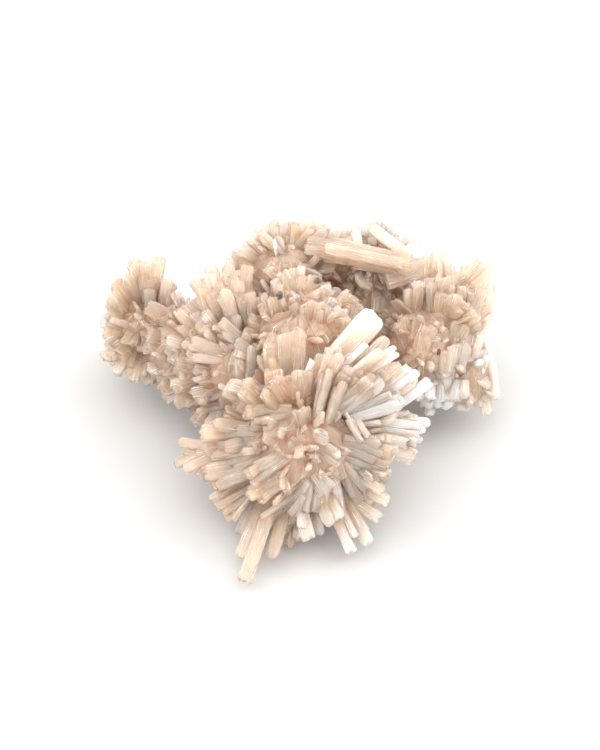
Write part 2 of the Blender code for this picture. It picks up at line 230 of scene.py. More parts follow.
# Blades that stand out from each middle: clock, lean, how far they show to reach, width, thickness, roll.
STANDING_OUT = {
    "front": [
        (182, -6, 31.5, 4, 2, 25), (190, -5, 33.3, 3.2, 2, 50), (195, 3, 30.5, 4.2, 2, 20),
        (202, 0, 26.8, 4.2, 2, 30), (208, 15, 25.2, 4.8, 2.2, 10), (220, 10, 27.2, 4.4, 2.2, 25),
        (228, 35, 19.6, 4.4, 2.2, 10), (214, 40, 16.4, 4.2, 2.2, 15), (235, 4, 28.2, 2.4, 1.6, 30),
        (241, 14, 33, 3.2, 2, 30), (247, 20, 37.4, 3.8, 2, 20), (255, 18, 30, 3.2, 2, 30),
        (267, 16, 24.6, 3.4, 2, 20), (274, 22, 24.6, 3.6, 2, 10), (281, 15, 23.6, 3.4, 2, 30),
        (292, 26, 21.8, 5, 2.6, 15), (296, 15, 30.4, 4.2, 2.4, 10), (303, 12, 30.4, 3.4, 2, 30),
        (321, 12, 27.2, 7, 3.6, 10), (340, 10, 23.4, 4.2, 2.2, 30), (356, 5, 28.8, 5.5, 3, 30),
        (9, 0, 32.2, 2.8, 2, 20), (28, 8, 35, 4.6, 2.6, 15), (34, 12, 33.6, 4.6, 2.6, 15),
        (40, 14, 31.2, 3.6, 2, 20), (46, 10, 32.8, 3.4, 2, 20), (51, 8, 33.4, 3.4, 2, 20),
        (60, 5, 37, 6, 4.6, 20), (74, 30, 24, 6, 2.6, 10), (99, 12, 29, 10, 2.8, 5),
        (101, 36, 19, 11, 3.2, 5), (155, 38, 15.7, 5.2, 2.4, 10), (293, 90, 2.4, 5.5, 3.4, 0),
        (50, 30, 23, 8, 3, 10), (120, 42, 17.5, 6.4, 2.6, 20), (136, 28, 21.5, 5, 2.4, 20),
    ],
    "ridge": [
        (138, 8, 23, 4.2, 2, 15), (160, 28, 14.8, 6, 2.4, 10), (157, 12, 20.8, 3, 1.8, 20),
        (148, 8, 18.9, 4, 2, 30), (198, -6, 21, 4.4, 2, 30), (211, -4, 17.5, 4.2, 2, 30),
        (112, 2, 28, 7.4, 2.4, 10), (101, 2, 28.4, 7.4, 2.4, 10), (91, 4, 27.5, 7, 2.4, 10),
        (84, 14, 21, 4, 2, 30), (178, 22, 17, 5, 2.2, 25), (125, 28, 17.5, 5.2, 2.2, 25),
    ],
    "cup": [
        (62, 34, 13.4, 6, 2, 20), (83, 32, 17.8, 6.2, 2, 20), (106, 32, 16.6, 6.6, 2, 20),
        (131, 34, 13.8, 6.2, 2, 20), (156, 32, 11.5, 5.2, 2, 20), (180, 32, 10.8, 5.2, 2, 20),
        (206, 34, 11.5, 5.2, 2, 20), (228, 36, 13, 4.6, 2, 20), (246, 36, 15, 4.4, 2, 20),
        (263, 36, 15, 4.2, 2, 20), (279, 34, 15.6, 4.2, 2, 20), (293, 34, 15.8, 4.2, 2, 20),
        (320, 40, 11.5, 4.2, 2, 20), (232, 62, 6.5, 4, 2, 20), (275, 62, 6.5, 4, 2, 20),
    ],
    "crown": [
        (118, 12, 15, 6, 3.2, 10), (92, 12, 14.5, 7, 3.4, 10), (12, 40, 13.5, 5, 3, 10),
        (140, 30, 12, 7, 3, 20), (170, 36, 14, 7, 3, 20), (60, 30, 11.5, 8.5, 4.4, 10),
    ],
    "dome": [
        (135, 10, 14, 5.4, 2.2, 20), (112, 10, 14.6, 5.4, 2.2, 20), (92, 10, 15.2, 5.4, 2.2, 20),
        (72, 10, 15.6, 5.4, 2.2, 20), (52, 10, 16.4, 5.4, 2.2, 20),
    ],
    "right": [
        (83, 4, 24.7, 5, 2.2, 20), (73, 8, 22, 4.6, 2.2, 30), (63, 0, 23.3, 4.6, 2, 20),
        (53, 0, 27.6, 4, 1.8, 20), (46, 0, 28.1, 3.6, 1.8, 30), (32, 0, 20, 4.4, 2, 30),
        (64, 30, 15.5, 6.4, 2.4, 10), (98, 26, 17, 5, 2.2, 20), (36, 26, 16.5, 6, 2.4, 10),
        (142, 34, 9.5, 5, 2.4, 30), (268, 26, 15, 6, 4, 10), (290, 10, 17, 6, 4, 10),
        (345, 20, 14, 5.4, 2.6, 20),
    ],
}

# Blades that lie on a spray's face: right and up of the root, right and up of the tip, how far in front of
# the spray's middle the root and the tip lie, then width, thickness and roll.
LAID_ON = {
    "front": [
        (-5.6, -14.4, -21.6, -21.2, 9, 7, 3.8, 2.0, 10), (-5.0, -17.5, -20.6, -27.5, 7, 4, 4.4, 2.0, 15),
        (-1.9, -13.1, -12.8, -19.1, 13, 12, 4.2, 2.0, 10), (-0.6, -17.5, -12.8, -24.1, 12, 10, 4.8, 2.2, 5),
        (-6.2, -7.5, -22.2, -7.5, 9, 5, 4.2, 2.0, 20), (-7.5, -10.0, -20.6, -12.5, 9, 6, 4.6, 2.0, 10),
        (-6.2, -12.5, -18.1, -16.2, 10, 7, 4.0, 2.0, 20), (3.1, -21.2, -5.9, -31.2, 8, 5, 6.0, 2.4, 10),
        (1.2, -27.5, -6.8, -39.4, 3, 0, 1.8, 1.4, 10), (2.5, -16.2, -0.6, -27.5, 11, 9, 4.6, 2.0, 15),
        (5.0, -16.9, 5.0, -28.1, 10, 7, 4.4, 2.0, 10), (6.9, -15.0, 9.1, -30.6, 10, 5, 5.0, 2.2, 15),
        (8.8, -12.5, 22.8, -18.1, 10, 6, 5.4, 2.2, 10), (10.0, -15.6, 16.2, -25.0, 9, 5, 5.0, 2.2, 20),
        (13.8, -8.8, 28.8, -13.1, 7, 2, 6.0, 2.4, 10), (15.0, -5.6, 30.0, -8.1, 6, 2, 5.0, 2.4, 10),
        (10.6, -10.0, 21.2, -12.5, 11, 9, 4.8, 2.0, 20), (7.5, 1.9, 23.4, 13.4, 9, 12, 4.4, 2.2, 15),
        (9.0, -2.0, 20.0, 6.0, 10, 11, 5.4, 2.2, 10), (12.0, -4.0, 25.0, 0.5, 9, 7, 5.4, 2.2, 10),
        (4.1, -5.0, 6.9, 8.4, 12, 13, 2.8, 2.6, 50), (6.9, -5.6, 10.3, 5.6, 12, 13, 2.6, 2.4, 50),
        (5.0, 3.8, 9.1, 12.2, 11, 14, 4.8, 2.2, 10), (11.9, -4.4, 15.3, -10.3, 12, 12, 2.0, 2.2, 50),
        (1.2, -6.9, 0.6, -1.2, 12, 16, 3.2, 2.2, 30), (-1.9, -2.5, -13.6, -3.8, 11, 11, 4.6, 2.2, 10),
        (-1.9, -2.5, -18.4, 2.8, 6, 6, 5.4, 2.2, 10), (-14.4, 0.6, -19.1, 3.1, 5, 6, 3.8, 2.0, 10),
        (-5.0, -12.5, -6.2, -6.6, 11, 13, 2.8, 2.2, 40), (-9.4, -12.5, -11.2, -8.8, 10, 11, 3.2, 2.0, 30),
        (2.5, -7.5, 7.5, -10.0, 13, 15, 3.6, 2.0, 20), (0.0, -12.5, -3.1, -9.6, 13, 16, 3.6, 2.0, 20),
        (3.8, -17.5, 7.5, -22.5, 12, 11, 4.2, 2.0, 10), (1.2, -18.8, -3.1, -25.0, 12, 9, 4.0, 2.0, 15),
        (4.5, -12.0, 10.5, -15.5, 13, 13, 4.0, 2.0, 25), (-3.0, -6.0, -9.5, -9.0, 12, 13, 3.8, 2.0, 25),
    ],
    "ridge": [
        (-18.1, 10.6, -28.4, 13.1, 10, 12, 6.0, 3.0, 5), (-19.0, 20.0, -22.5, 29.5, 5, 7, 5.5, 2.2, 10),
        (-15.0, 20.0, -17.5, 30.5, 5, 7, 5.5, 2.2, 10), (-16.2, 19.4, -19.4, 28.1, 9, 11, 3.2, 2.2, 20),
        (-12.0, 18.0, -14.0, 27.0, 7, 9, 4.6, 2.2, 10), (-12.5, 2.5, -11.5, 14.5, 11, 14, 3.4, 2.2, 30),
        (-14.6, 3.0, -15.0, 11.0, 11, 13, 3.2, 2.0, 30), (-18.0, 3.0, -27.0, 0.5, 9, 7, 4.6, 2.0, 10),
        (-17.0, 6.0, -27.0, 6.5, 10, 9, 4.6, 2.0, 15), (-20.0, 0.0, -25.0, -5.0, 6, 4, 4.2, 2.0, 10),
        (-12.0, -1.0, -19.0, -7.5, 8, 5, 4.4, 2.0, 10), (-22.0, 9.0, -31.0, 8.5, 6, 5, 4.2, 2.0, 10),
        (-10.0, 10.0, -17.0, 14.0, 12, 13, 4.6, 2.2, 10), (-14.0, 14.0, -21.0, 19.0, 10, 11, 4.4, 2.2, 20),
        (-23.0, 5.0, -33.0, 3.0, 5, 3, 4.0, 2.0, 20), (-16.0, -2.0, -23.0, -3.0, 8, 7, 4.2, 2.0, 20),
    ],
    "right": [
        (34.5, 20.0, 35.0, 32.0, 4, 7, 6.0, 2.4, 10), (37.5, 19.0, 36.5, 36.0, 2, 4, 4.0, 2.2, 20),
        (41.5, 17.0, 44.0, 29.0, 2, 4, 7.5, 2.4, 10), (26.5, 13.0, 25.3, 21.2, 8, 10, 4.0, 2.2, 15),
        (29.0, 13.0, 30.2, 21.0, 8, 10, 3.8, 2.2, 15), (31.0, 9.0, 37.0, 13.5, 9, 9, 4.6, 2.2, 20),
        (34.0, 7.0, 40.0, 10.5, 8, 7, 5.0, 2.2, 15), (35.0, 8.0, 34.6, -2.6, 5, 4, 7.5, 4.0, 5),
        (42.0, 11.0, 43.0, -1.5, 1, 1, 6.6, 4.0, 5), (27.0, 9.0, 31.5, 12.0, 9, 10, 3.6, 2.2, 20),
        (30.0, 14.0, 33.5, 19.5, 9, 10, 4.6, 2.2, 15), (38.0, 13.0, 41.0, 20.0, 6, 7, 5.0, 2.2, 15),
    ],
    "crown": [
        (-3.5, 8.0, -5.2, 17.8, 8, 11, 5.0, 2.2, 10), (0.4, 8.0, 1.2, 18.4, 8, 11, 4.8, 2.2, 10),
        (-1.6, 8.0, -2.0, 19.0, 9, 12, 5.5, 2.2, 5), (6.0, 12.0, 8.0, 24.0, 8, 10, 7.6, 2.4, 10),
        (11.0, 12.0, 13.5, 22.0, 6, 7, 6.0, 2.4, 15), (-3.0, 22.0, -4.0, 33.0, 4, 5, 7.0, 2.4, 10),
        (1.0, 22.0, 2.2, 32.0, 3, 5, 6.0, 2.4, 10), (-9.0, 16.0, -13.5, 25.0, 4, 6, 6.0, 2.4, 10),
        (-6.0, 16.0, -8.0, 26.0, 7, 9, 5.6, 2.4, 10), (-10.8, 9.0, -11.5, 19.0, 6, 9, 3.4, 2.2, 30),
        (2.0, 14.0, 3.0, 25.5, 9, 10, 5.8, 2.4, 10),
    ],
    "tail": [
        (40.0, 8.0, 41.0, 15.0, 7, 8, 5.0, 2.4, 15), (44.0, 6.0, 45.0, 13.5, 4, 5, 5.0, 2.4, 15),
        (41.0, 5.0, 40.5, -1.0, 6, 6, 5.0, 2.6, 10), (37.0, 7.0, 37.5, 14.0, 9, 9, 4.4, 2.4, 15),
    ],
    "dome": [
        (-4.0, 30.0, -13.0, 37.0, 3, 3, 6.0, 2.4, 10), (-3.0, 31.0, -7.0, 42.0, 2, 2, 6.5, 2.4, 10),
        (0.0, 31.0, 0.0, 44.0, 1, 1, 7.0, 2.4, 10), (3.0, 31.0, 7.0, 44.6, 0, 1, 7.0, 2.4, 10),
        (-5.0, 27.0, -14.0, 30.5, 5, 4, 5.5, 2.4, 10), (-2.0, 28.0, -8.0, 35.0, 7, 7, 5.0, 2.2, 15),
    ],
}

# Blades that lie across the sprays: root and tip as right, up, height, then width, thickness, roll.
LYING_ACROSS = [
    ((27.5, 33.4, 36.0), (2.6, 37.6, 38.6), 3.2, 2.6, 30),
    ((28.0, 35.0, 36.6), (1.4, 39.6, 39.4), 3.4, 2.8, 15),
    ((26.0, 34.4, 38.0), (6.0, 38.4, 40.6), 3.0, 1.8, 5),
    ((24.0, 36.2, 37.4), (4.4, 41.0, 39.8), 2.8, 2.2, 10),
    ((27.0, 32.4, 35.0), (11.0, 35.2, 36.8), 2.6, 2.2, 40),
    ((16.0, 36.4, 38.6), (0.6, 38.2, 39.4), 2.6, 1.8, 0),
    ((22.0, 30.0, 33.0), (33.5, 34.6, 33.0), 5.0, 3.0, 10),
    ((20.0, 31.0, 32.0), (29.5, 36.0, 34.0), 5.0, 3.0, 10),
    ((28.0, 36.0, 37.0), (18.0, 44.0, 40.0), 3.0, 2.4, 20),
    ((20.0, 38.0, 34.0), (21.8, 45.8, 39.5), 4.4, 2.2, 10),
    ((14.0, 36.0, 36.0), (13.0, 42.8, 39.0), 5.0, 2.4, 10),
    ((0.5, 24.0, 36.0), (8.5, 28.4, 38.0), 3.6, 2.4, 20),
    ((20.0, 22.0, 24.0), (21.5, 32.5, 29.0), 5.4, 2.6, 10),
    ((46.6, 17.8, 21.0), (48.9, -4.2, 5.0), 5.0, 3.6, 15),
    ((42.4, 12.0, 19.0), (43.4, -3.0, 5.0), 6.6, 4.2, 10),
    ((33.5, 14.0, 22.0), (34.8, 32.8, 33.0), 5.6, 2.6, 10),
    ((39.6, 8.0, 18.0), (43.0, 31.0, 29.0), 7.0, 2.8, 10),
    ((45.6, 9.0, 15.0), (48.0, 30.5, 25.0), 4.2, 2.6, 20),
    ((35.0, 9.0, 18.0), (35.2, -3.4, 8.0), 8.0, 5.0, 10),
    ((27.0, 11.0, 20.0), (24.6, 21.6, 27.0), 4.6, 2.4, 10),
    ((29.4, 12.0, 20.0), (29.8, 22.4, 27.0), 4.4, 2.4, 10),
    ((6.0, 31.0, 30.0), (7.0, 44.6, 37.0), 7.5, 5.0, 10),
    ((12.0, 32.0, 31.0), (14.0, 44.0, 37.0), 7.0, 5.0, 10),
    ((0.0, 31.0, 30.0), (0.5, 45.6, 37.5), 7.0, 4.4, 10),
]

# Where the selenite is paler (above 0) or browner (below 0): right, up, how far the patch spreads, amount.
PATCHES = [
    (27, -2, 10, 1.0),
    (22, 8, 5, 0.9),
    (14, -28, 9, 0.35),
    (34, 1, 8, 1.0),
    (45, 8, 7, 0.7),
    (14, 12.5, 3.2, 1.3),
    (18, 41, 7, 0.6),
    (8, 43, 5, 0.5),
    (-14, 11, 5, 0.5),
    (-10, 18, 6, -0.6),
    (-5, 3, 6, -1.0),
    (17, 26, 7, 0.2),
    (-39, 18, 5, -0.6),
    (26, 17, 5, -0.5),
    (-22, -13, 10, -0.25),
    (38, 22, 5, -0.25),
    (14, 37, 8, -0.45),
    (-5, 36, 7, 0.4),
    (-12, -36, 7, -0.4),
    (4, -26, 8, 0.35),
]

# A blade is one row of numbers: its root, its tip, its width, its thickness and its roll about its length.
ROOT, TIP, WIDTH, THICKNESS, ROLL = slice(0, 3), slice(3, 6), 6, 7, 8
# No tip is lower than LOWEST_TIP, and no way points down by more than STEEPEST, the height of a unit vector.
LOWEST_TIP, STEEPEST = 1.0, -0.55
# Blades start inside their middle, at this share of its least half size.
START_SHARE = 0.35
# A middle counts as this much larger, squared, where blades of other middles end.
ROUND_A_MIDDLE = 1.2
# How far chance moves the ends of the evenly spread unit vectors.
WAY_SHAKE = 0.09


def ball_of_ways(count, shake):
    """Unit vectors spread evenly: height falls in equal steps, the golden angle turns them, and all shake."""
    step = np.arange(count)
    z = 1 - 2 * (step + 0.5) / count
    turn = math.pi * (3 - math.sqrt(5)) * step
    across = np.sqrt(1 - z * z)
    ways = np.stack([across * np.cos(turn), across * np.sin(turn), z], axis=1)
    ways += shake.normal(0, WAY_SHAKE, ways.shape)
    return ways / np.linalg.norm(ways, axis=1, keepdims=True)


# Where a middle's row has its place, its half sizes, the reach of its blades and its seed.
PLACE, HALF_SIZES, REACH, SEED = slice(0, 3), slice(3, 6), 6, -1


def middle_of(name):
    """The centre of a spray's massive middle."""
    return seen_at(*MIDDLES[name][PLACE])


def half_sizes(name):
    """Half the size of a spray's middle along X, Y and Z."""
    return np.array(MIDDLES[name][HALF_SIZES])


def in_another_middle(points, own):
    """Which points lie in the ellipsoid of another spray's middle, a little enlarged."""
    within = np.zeros(len(points), bool)
    for name in MIDDLES:
        if name != own:
            away = (points - middle_of(name)) / half_sizes(name)
            within |= (away ** 2).sum(axis=1) < ROUND_A_MIDDLE
    return within


def laid_on(name):
    """The blades on a spray's face: root and tip are its middle + right * RIGHT + up * UP + lift * TOWARD."""
    rows = np.array(LAID_ON[name])
    right_up, lift, sizes = rows[:, :4].reshape(-1, 2, 2), rows[:, 4:6, None], rows[:, 6:]
    ends = (right_up - np.array(MIDDLES[name][:2])) @ np.stack([RIGHT, UP]) + lift * TOWARD
    return np.concatenate([(middle_of(name) + ends).reshape(-1, 6), sizes], axis=1)


# How far a copy of a blade moves aside and, from this to this, out; how far it turns, as a tangent; its
# length, width and thickness as shares of the blade's; and how far it rolls.
COPY_ASIDE, COPY_OUT, COPY_TURN = 1.6, (-2.2, 0.4), 0.12
COPY_LENGTH, COPY_WIDTH, COPY_THICKNESS, COPY_ROLL = (0.7, 1.0), (0.3, 0.6), (0.4, 0.8), 15


def laid_between(name, copies, seed):
    """Smaller blades between those on a spray's face: each is one of them, moved, turned, cut by chance."""
    shake = np.random.default_rng(seed)
    rows = np.repeat(laid_on(name), copies, axis=0)
    n = len(rows)
    shift = [shake.normal(0, COPY_ASIDE, n), shake.normal(0, COPY_ASIDE, n), shake.uniform(*COPY_OUT, n)]
    shift = np.stack(shift, axis=1) @ np.stack([RIGHT, UP, TOWARD])
    along = rows[:, TIP] - rows[:, ROOT]
    turned = along + np.cross(TOWARD, along) * np.tan(shake.normal(0, COPY_TURN, (n, 1)))
    rows[:, ROOT] += shift
    rows[:, TIP] = rows[:, ROOT] + turned * shake.uniform(*COPY_LENGTH, (n, 1))
    rows[:, WIDTH] *= shake.uniform(*COPY_WIDTH, n)
    rows[:, THICKNESS] *= shake.uniform(*COPY_THICKNESS, n)
    rows[:, ROLL] += shake.normal(0, COPY_ROLL, n)
    return rows


# Blades point nearly the same way in sheaves, one at each SHEAF_TURN round a spray, and each blade's root is
# swung by this share of the way to its sheaf's direction. One that leans out by more than END_ON is seen from
# its end and stands out towards the viewer by END_ON_RISE.
SHEAF_TURN, SWUNG = math.radians(42), 0.65
END_ON, END_ON_RISE = 80, 18


def standing_out(name):
    """The spray's own blades, each with tip = middle + reach in the view + lean, and its root swung aside.

    So the blades of one sheaf, which point nearly the same way, lie nearly parallel.
    """
    rows = np.array(STANDING_OUT.get(name, np.empty((0, 6))), float)
    if not len(rows):
        return np.empty((0, 9))
    turn, lean, reach = np.radians(rows[:, 0]), np.radians(rows[:, 1]), rows[:, 2]
    in_view = np.outer(np.cos(turn), RIGHT) + np.outer(np.sin(turn), UP)
    end_on = rows[:, 1] > END_ON
    rise = np.where(end_on, END_ON_RISE, reach * np.tan(np.where(end_on, 0, lean)))
    way = reach[:, None] * in_view + rise[:, None] * TOWARD
    sheaf = SHEAF_TURN * np.round(turn / SHEAF_TURN)
    swung = turn + np.where(end_on, 0, SWUNG * (sheaf - turn))
    in_view = np.outer(np.cos(swung), RIGHT) + np.outer(np.sin(swung), UP)
    blade = reach[:, None] * in_view + rise[:, None] * TOWARD
    start = START_SHARE * half_sizes(name).min() / np.linalg.norm(way, axis=1, keepdims=True)
    tip = middle_of(name) + way
    return np.concatenate([tip - blade * (1 - start), tip, rows[:, 3:]], axis=1)


# The cup stays open within this angle of the view, and where blades are laid on a spray's face, no others
# lean out by more than this.
CUP_OPENING, FACE_LEAN = math.radians(48), math.radians(25)


def ways_kept(name, ways, tips):
    """Which ways of a spray are free: the tips clear the table and other middles, and the cup stays open."""
    keep = (tips[:, 2] >= LOWEST_TIP) & (ways[:, 2] >= STEEPEST) & ~in_another_middle(tips, name)
    if name == "cup":
        keep &= ways @ TOWARD < math.cos(CUP_OPENING)
    if name in LAID_ON:
        keep &= ways @ TOWARD < math.sin(FACE_LEAN)
    return keep


# The least angle between a plain blade and one that stands out, and between that and a small blade.
PLAIN_APART, SMALL_APART = math.radians(11), math.radians(2.5)
# A plain blade's length, width and thickness as shares of its spray's: the least, and how much chance adds.
PLAIN_LENGTH, PLAIN_WIDTH, PLAIN_THICKNESS = (0.86, 0.20), (0.8, 0.45), (0.85, 0.35)


def filling_in(name):
    """The plain blades of a spray, on a ball of ways that keeps clear of the blades that stand out."""
    *_, reach, width, thickness, count, seed = MIDDLES[name]
    shake = np.random.default_rng(seed)
    ways = ball_of_ways(count, shake)
    draws = shake.random((count, 4))

    def share(column, least, more):
        return least + more * draws[:, column, None]

    middle = middle_of(name)
    tip = middle + ways * (reach * share(0, *PLAIN_LENGTH))
    root = middle + ways * START_SHARE * half_sizes(name).min()
    keep = ways_kept(name, ways, tip)
    first = standing_out(name)
    if len(first):
        taken = first[:, TIP] - middle
        taken /= np.linalg.norm(taken, axis=1, keepdims=True)
        keep &= (ways @ taken.T).max(axis=1) < math.cos(PLAIN_APART)
    sizes = [width * share(1, *PLAIN_WIDTH), thickness * share(2, *PLAIN_THICKNESS), draws[:, 3:] * 180]
    return np.concatenate([root, tip, *sizes], axis=1)[keep]


# How many sheaves of small blades each spray has for each of its plain blades, and how many are in a sheaf.
SHEAVES = {
    "front": 4.6, "cup": 7.0, "ridge": 4.0, "neck": 2.4, "dome": 3.5, "crown": 1.6,
    "right": 2.4, "tail": 1.6, "back": 1.6, "hollow": 3.5, "ledge": 2.6,
}
PER_SHEAF, SHEAF_SEED = 3, 200
# How the plain reach weighs against the blades that stand out, and how fast those lose their say with angle.
PLAIN_WEIGHT, SHARPNESS = 0.6, 40
# How far chance rolls a sheaf and each of its blades, spreads their ways, and moves each aside.
SHEAF_ROLL, SMALL_ROLL, SMALL_SPREAD, SMALL_ASIDE = 40, 10, 0.035, 1.9
# A small blade's length and width as shares of its spray's, and its thickness.
SMALL_LENGTH, SMALL_WIDTH, SMALL_THICKNESS = (0.68, 0.96), (0.55, 1.05), (0.8, 1.5)


def sheaves(name):
    """Sheaves of nearly parallel small blades that fill the gaps, each as long as the blades round it are.

    The length that a way has is the mean of the spray's plain reach and the reach of each blade that stands
    out, weighted by exp(sharpness * (cosine of the angle between them - 1)), times a chance share below 1.
    """
    *_, reach, width, _, count, seed = MIDDLES[name]
    shake = np.random.default_rng(SHEAF_SEED + seed)
    middle = middle_of(name)
    ways = ball_of_ways(int(count * SHEAVES[name]), shake).repeat(PER_SHEAF, 0)
    n = len(ways)
    roll = shake.normal(0, SHEAF_ROLL, n // PER_SHEAF).repeat(PER_SHEAF) + shake.normal(0, SMALL_ROLL, n)
    ways += shake.normal(0, SMALL_SPREAD, ways.shape)
    ways /= np.linalg.norm(ways, axis=1, keepdims=True)
    first = standing_out(name)
    near, total = np.full(n, PLAIN_WEIGHT), np.full(n, PLAIN_WEIGHT * reach)
    keep = np.ones(n, bool)
    if len(first):
        taken = first[:, TIP] - middle
        reaches = np.linalg.norm(taken, axis=1)
        cosine = ways @ (taken / reaches[:, None]).T
        weight = np.exp(SHARPNESS * (cosine - 1))
        near, total = near + weight.sum(axis=1), total + weight @ reaches
        keep = cosine.max(axis=1) < math.cos(SMALL_APART)
    long = total / near * shake.uniform(*SMALL_LENGTH, n)
    aside = shake.normal(0, SMALL_ASIDE, ways.shape)
    tip = middle + ways * long[:, None] + aside
    root = middle + ways * START_SHARE * half_sizes(name).min() + aside
    keep &= ways_kept(name, ways, tip)
    sizes = [width * shake.uniform(*SMALL_WIDTH, n), shake.uniform(*SMALL_THICKNESS, n), roll]
    return np.concatenate([root, tip, np.stack(sizes, axis=1)], axis=1)[keep]


# How much skin of a middle each stub has, in square mm, and how deep a stub is rooted under it.
COATING_AREA, STUB_ROOT, STUB_SEED = 13.0, 2.5, 400
# The least cosine between a stub and the view: where blades are laid on a spray's face, and elsewhere.
STUB_FACES = 0.5, -0.35
# How far chance tilts a stub, how far it stands out of the skin, its width and its thickness.
STUB_TILT, STUB_REACH, STUB_WIDTH, STUB_THICKNESS = 0.12, (0.8, 3.4), (1.5, 3.4), (0.8, 1.5)


def coating(name):
    """Short stout crystals all over the open sides of a middle, rooted just under its skin.

    The skin is at 1 / |way / half sizes| from the middle along a way, because the middle is an ellipsoid.
    """
    radii = half_sizes(name)
    shake = np.random.default_rng(STUB_SEED + MIDDLES[name][SEED])
    ways = ball_of_ways(int(4 * math.pi * (radii ** 2).mean() / COATING_AREA), shake)
    skin = 1 / np.linalg.norm(ways / radii, axis=1, keepdims=True)
    middle, n = middle_of(name), len(ways)
    tilted = ways + shake.normal(0, STUB_TILT, ways.shape)
    tip = middle + tilted * (skin + shake.uniform(*STUB_REACH, (n, 1)))
    keep = ways @ TOWARD > STUB_FACES[0 if name in LAID_ON else 1]
    keep &= (tip[:, 2] > LOWEST_TIP) & ~in_another_middle(tip, name)
    sizes = [shake.uniform(*STUB_WIDTH, n), shake.uniform(*STUB_THICKNESS, n), shake.uniform(0, 180, n)]
    return np.concatenate([middle + ways * (skin - STUB_ROOT), tip, np.stack(sizes, axis=1)], axis=1)[keep]


# How many smaller blades each blade on a spray's face has beside it.
COPIES, COPIES_SEED = 4, 60
blades = [np.array([(*seen_at(*root), *seen_at(*tip), *sizes) for root, tip, *sizes in LYING_ACROSS])]
small, between, stubs = [], [], []
for name, row in MIDDLES.items():
    if row[REACH]:
        blades += [standing_out(name), filling_in(name)]
        if name in LAID_ON:
            blades.append(laid_on(name))
            between.append(laid_between(name, COPIES, row[SEED] + COPIES_SEED))
        small.append(sheaves(name))
        stubs.append(coating(name))
blades, small, between, stubs = (np.concatenate(rows) for rows in (blades, small, between, stubs))


def frames(rows):
    """Each blade's own directions: along it, out of its flat side, and across it."""
    along = rows[:, TIP] - rows[:, ROOT]
    along /= np.linalg.norm(along, axis=1, keepdims=True)
    flat = TOWARD - along * (along @ TOWARD)[:, None]
    upward = UP - along * (along @ UP)[:, None]
    flat = np.where(np.linalg.norm(flat, axis=1, keepdims=True) < 0.2, upward, flat)
    flat /= np.linalg.norm(flat, axis=1, keepdims=True)
    roll = np.radians(rows[:, ROLL, None])
    flat = flat * np.cos(roll) + np.cross(along, flat) * np.sin(roll)
    return along, flat, np.cross(flat, along)


# A blade thicker than MASSIVE stays whole, one thicker than THREE_DEEP has three layers and any other two.
# Past each width in PLATES_BESIDE a blade gets one more plate beside the first, and each plate then has a
# share of the blade's width.
MASSIVE, THREE_DEEP = 4.5, 2.5
PLATES_BESIDE = 3.9, 6.8
PLATE_SHARES = np.array([1, 0.62, 0.44])
# A plate's width and thickness beside an even share of the blade's, and how much shorter it is. The first
# plate keeps the length and has a width of its own. Plates lie within SPREAD times the blade's width.
PLATE_WIDTH, PLATE_THICKNESS, PLATE_SHORTER = (0.65, 1.05), (0.8, 1.1), (0.02, 0.22)
FIRST_WIDTH, THICKER, SPREAD, BESIDE, PLATE_ROLL = 1.08, 1.25, 1.2, 0.45, 4
# How much of its distance from the blade's middle a plate has at the root: across, and out of the flat side.
ROOT_ASIDE, ROOT_LIFT = 0.5, 0.6


def in_plates(rows, seed):
    """Splits each blade into thin plates, one on another and slightly apart; the first has its reach.

    A wide blade is also split in two or three across, so that it looks like plates grown side by side.
    """
    shake = np.random.default_rng(seed)
    wide, thick = rows[:, WIDTH], rows[:, THICKNESS]
    layers = np.where(thick > MASSIVE, 1, np.where(thick > THREE_DEEP, 3, 2))
    beside = np.where(thick > MASSIVE, 1, 1 + (wide > PLATES_BESIDE[0]) + (wide > PLATES_BESIDE[1]))
    count = layers * beside
    which = np.repeat(np.arange(len(rows)), count)
    n = len(which)
    place = np.arange(n) - np.repeat(np.cumsum(count) - count, count)
    rows, layers, beside = rows[which], layers[which], beside[which]
    along, flat, across = frames(rows)
    layer = 1 - 2 * (place // beside) / np.maximum(layers - 1, 1)
    side = np.where(beside > 1, 2 * (place % beside) / np.maximum(beside - 1, 1) - 1, 0)
    first = place == 0
    new = rows.copy()
    new[:, WIDTH] *= np.where(first, FIRST_WIDTH, shake.uniform(*PLATE_WIDTH, n)) * PLATE_SHARES[beside - 1]
    new[:, THICKNESS] *= THICKER / layers * shake.uniform(*PLATE_THICKNESS, n)
    free = np.maximum(SPREAD * rows[:, WIDTH] - new[:, WIDTH], 0)
    aside = np.where(beside > 1, side * BESIDE, shake.uniform(-0.5, 0.5, n) * ~first) * free
    lift = layer * (rows[:, THICKNESS] - new[:, THICKNESS]) / 2
    length = np.linalg.norm(rows[:, TIP] - rows[:, ROOT], axis=1)
    short = length * np.where(first, 0, shake.uniform(*PLATE_SHORTER, n))
    new[:, ROOT] += across * (ROOT_ASIDE * aside)[:, None] + flat * (ROOT_LIFT * lift)[:, None]
    new[:, TIP] += across * aside[:, None] + flat * lift[:, None] - along * short[:, None]
    new[:, ROLL] += shake.normal(0, PLATE_ROLL, n) * ~first
    return new


def box_section(corners):
    """A flat blade's section: a circle's points, cos and sin raised to small powers, nearly a rectangle."""
    turn = np.arange(corners) * 2 * np.pi / corners
    c, s = np.cos(turn), np.sin(turn)
    return np.stack([np.sign(c) * np.abs(c) ** 0.8, np.sign(s) * np.abs(s) ** 0.45], axis=1)


# Where the rings are: as shares of the shaft, then as shares of the rounded end's length from the tip.
RINGS = [0.0, 0.5], [1.0, 0.55, 0.2, 0.0]
STUB_RINGS = [0.0], [1.0, 0.4, 0.0]
# Corners of a section: of the large blades, the small ones and the stubs.
BLADE_CORNERS, SMALL_CORNERS, STUB_CORNERS = 11, 8, 6
